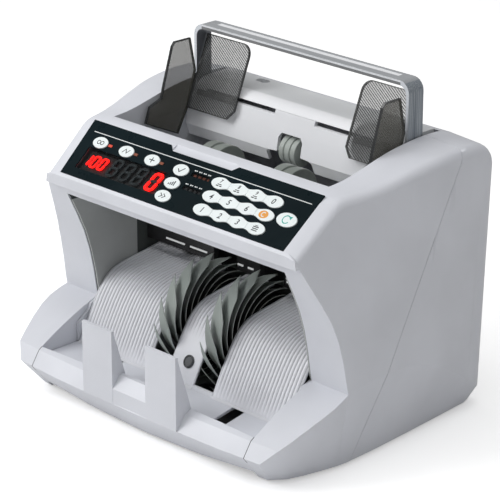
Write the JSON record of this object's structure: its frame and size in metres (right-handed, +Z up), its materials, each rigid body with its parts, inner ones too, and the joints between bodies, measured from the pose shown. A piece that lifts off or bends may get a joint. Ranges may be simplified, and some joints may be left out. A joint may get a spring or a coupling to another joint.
{
  "type": "banknote counting machine",
  "caption": "Desktop friction-feed banknote counter: wedge-shaped cover with sloping key panel, top hopper with side guides, open stacking bay with bladed wheels, folding handle.",
  "frame": {"origin": "on the table at the underside of the feet, at the bottom centre of the bounding box of the whole machine", "axes": "+X to the operator's right, +Y away from the operator towards the rear, +Z up"},
  "size_m": [0.2976, 0.233, 0.2532],
  "materials": {
    "cover": "fine matt texture, cool grey-white",
    "lid": "fine matt texture, light grey",
    "tray": "fine matt texture, cool grey-white",
    "liner": "matt mid grey",
    "black": "matt black",
    "pan": "powder coated",
    "foot": "matt rubber",
    "steel": "bare machined steel",
    "bronze": "sintered bronze",
    "panel_film": "satin printed film, near black",
    "window": "dark red tinted window",
    "led_red": "lit display segments",
    "lamp": "small indicator lamps",
    "board": "coated circuit board",
    "psu": "folded sheet",
    "lens": "dark lens",
    "belt": "black belt",
    "roller": "grey-green rubber, satin",
    "blade": "grey-green moulded rubber, satin",
    "clear": "smoked clear sheet",
    "carriage": "black moulded nylon",
    "alloy": "satin anodised",
    "rocker": "glossy black",
    "key": "pale white key cap"
  },
  "bodies": {
    "chassis": {"front_housing": "cover", "rear_cover": "cover", "top_cover": "lid", "hopper_plate": "cover", "note_tray": "tray", "note_stops": "tray", "base_pan": "pan", "feet": "foot", "bay_liner": "liner", "inner_shroud": "black", "stacker_plate": "cover", "side_frames": "steel", "bearings": "bronze", "panel_overlay": "panel_film", "display_window": "window", "digits_lit": "led_red", "status_lamps": "lamp", "control_board": "board", "main_board": "board", "power_supply": "psu", "power_inlet": "black", "rear_screws": "steel", "sensor_lens": "lens", "separator": "roller", "drive_belts": "belt", "motor": "psu"},
    "motor_rotor": {"motor_pulley": "alloy"},
    "stacker": {"stacker_shaft": "steel", "stacker_wheel_left": "blade", "stacker_wheel_right": "blade"},
    "feed": {"feed_shaft": "steel", "feed_rollers": "roller"},
    "kicker": {"kicker_shaft": "steel", "kicker_roller": "roller"},
    "guide_right": {"guide_right": "clear", "carriage_right": "carriage"},
    "guide_left": {"guide_left": "clear", "carriage_left": "carriage"},
    "handle": {"handle_bail": "alloy"},
    "power_rocker": {"power_rocker": "rocker"},
    "gap_screw": {"gap_screw": "steel"},
    "key_1": {"key_1": "key"},
    "key_2": {"key_2": "key"},
    "key_3": {"key_3": "key"},
    "key_4": {"key_4": "key"},
    "key_5": {"key_5": "key"},
    "key_6": {"key_6": "key"},
    "key_7": {"key_7": "key"},
    "key_8": {"key_8": "key"},
    "key_9": {"key_9": "key"},
    "key_0": {"key_0": "key"},
    "key_clear": {"key_clear": "key"},
    "key_batch": {"key_batch": "key"},
    "key_restart": {"key_restart": "key"},
    "key_mode_a": {"key_mode_a": "key"},
    "key_mode_b": {"key_mode_b": "key"},
    "key_mode_c": {"key_mode_c": "key"},
    "key_check": {"key_check": "key"},
    "key_level": {"key_level": "key"},
    "key_speed": {"key_speed": "key"}
  },
  "joints": [
    {"name": "motor_spin", "type": "hinge", "parent": "chassis", "child": "motor_rotor", "pos_m": [0, 0.06845, 0.092], "axis": [1, 0, 0], "continuous": true},
    {"name": "stacker_spin", "type": "hinge", "parent": "chassis", "child": "stacker", "pos_m": [0, -0.01255, 0.056], "axis": [1, 0, 0], "continuous": true},
    {"name": "feed_spin", "type": "hinge", "parent": "chassis", "child": "feed", "pos_m": [0, 0.01045, 0.166], "axis": [1, 0, 0], "continuous": true},
    {"name": "kicker_spin", "type": "hinge", "parent": "chassis", "child": "kicker", "pos_m": [0, 0.05405, 0.1776], "axis": [1, 0, 0], "continuous": true},
    {"name": "guide_right_slide", "type": "slide", "parent": "chassis", "child": "guide_right", "axis": [-1, 0, 0], "range_m": [0, 0.05]},
    {"name": "guide_left_slide", "type": "slide", "parent": "chassis", "child": "guide_left", "axis": [1, 0, 0], "range_m": [0, 0.05]},
    {"name": "handle_fold", "type": "hinge", "parent": "chassis", "child": "handle", "pos_m": [0, 0.06205, 0.2], "axis": [1, 0, 0], "range_deg": [-50, 0]},
    {"name": "power_switch", "type": "hinge", "parent": "chassis", "child": "power_rocker", "pos_m": [0.1015, 0.11305, 0.04], "axis": [1, 0, 0], "range_deg": [0, 12]},
    {"name": "gap_adjust", "type": "hinge", "parent": "chassis", "child": "gap_screw", "pos_m": [-0.062, 0.08245, 0.2], "axis": [0, 0, 1], "range_deg": [-180, 180]},
    {"name": "key_1_press", "type": "slide", "parent": "chassis", "child": "key_1", "axis": [0, 0.6315, -0.7754], "range_m": [0, 0.0006], "stiffness_N_per_m": 400},
    {"name": "key_2_press", "type": "slide", "parent": "chassis", "child": "key_2", "axis": [0, 0.6315, -0.7754], "range_m": [0, 0.0006], "stiffness_N_per_m": 400},
    {"name": "key_3_press", "type": "slide", "parent": "chassis", "child": "key_3", "axis": [0, 0.6315, -0.7754], "range_m": [0, 0.0006], "stiffness_N_per_m": 400},
    {"name": "key_4_press", "type": "slide", "parent": "chassis", "child": "key_4", "axis": [0, 0.6315, -0.7754], "range_m": [0, 0.0006], "stiffness_N_per_m": 400},
    {"name": "key_5_press", "type": "slide", "parent": "chassis", "child": "key_5", "axis": [0, 0.6315, -0.7754], "range_m": [0, 0.0006], "stiffness_N_per_m": 400},
    {"name": "key_6_press", "type": "slide", "parent": "chassis", "child": "key_6", "axis": [0, 0.6315, -0.7754], "range_m": [0, 0.0006], "stiffness_N_per_m": 400},
    {"name": "key_7_press", "type": "slide", "parent": "chassis", "child": "key_7", "axis": [0, 0.6315, -0.7754], "range_m": [0, 0.0006], "stiffness_N_per_m": 400},
    {"name": "key_8_press", "type": "slide", "parent": "chassis", "child": "key_8", "axis": [0, 0.6315, -0.7754], "range_m": [0, 0.0006], "stiffness_N_per_m": 400},
    {"name": "key_9_press", "type": "slide", "parent": "chassis", "child": "key_9", "axis": [0, 0.6315, -0.7754], "range_m": [0, 0.0006], "stiffness_N_per_m": 400},
    {"name": "key_0_press", "type": "slide", "parent": "chassis", "child": "key_0", "axis": [0, 0.6315, -0.7754], "range_m": [0, 0.0006], "stiffness_N_per_m": 400},
    {"name": "key_clear_press", "type": "slide", "parent": "chassis", "child": "key_clear", "axis": [0, 0.6315, -0.7754], "range_m": [0, 0.0006], "stiffness_N_per_m": 400},
    {"name": "key_batch_press", "type": "slide", "parent": "chassis", "child": "key_batch", "axis": [0, 0.6315, -0.7754], "range_m": [0, 0.0006], "stiffness_N_per_m": 400},
    {"name": "key_restart_press", "type": "slide", "parent": "chassis", "child": "key_restart", "axis": [0, 0.6315, -0.7754], "range_m": [0, 0.0006], "stiffness_N_per_m": 400},
    {"name": "key_mode_a_press", "type": "slide", "parent": "chassis", "child": "key_mode_a", "axis": [0, 0.6315, -0.7754], "range_m": [0, 0.0006], "stiffness_N_per_m": 400},
    {"name": "key_mode_b_press", "type": "slide", "parent": "chassis", "child": "key_mode_b", "axis": [0, 0.6315, -0.7754], "range_m": [0, 0.0006], "stiffness_N_per_m": 400},
    {"name": "key_mode_c_press", "type": "slide", "parent": "chassis", "child": "key_mode_c", "axis": [0, 0.6315, -0.7754], "range_m": [0, 0.0006], "stiffness_N_per_m": 400},
    {"name": "key_check_press", "type": "slide", "parent": "chassis", "child": "key_check", "axis": [0, 0.6315, -0.7754], "range_m": [0, 0.0006], "stiffness_N_per_m": 400},
    {"name": "key_level_press", "type": "slide", "parent": "chassis", "child": "key_level", "axis": [0, 0.6315, -0.7754], "range_m": [0, 0.0006], "stiffness_N_per_m": 400},
    {"name": "key_speed_press", "type": "slide", "parent": "chassis", "child": "key_speed", "axis": [0, 0.6315, -0.7754], "range_m": [0, 0.0006], "stiffness_N_per_m": 400}
  ],
  "couplings": [
    {"joint": "motor_spin", "follows": "stacker_spin", "ratio": 2.8571},
    {"joint": "feed_spin", "follows": "stacker_spin", "ratio": 2},
    {"joint": "kicker_spin", "follows": "stacker_spin", "ratio": 2},
    {"joint": "guide_left_slide", "follows": "guide_right_slide", "ratio": 1}
  ]
}
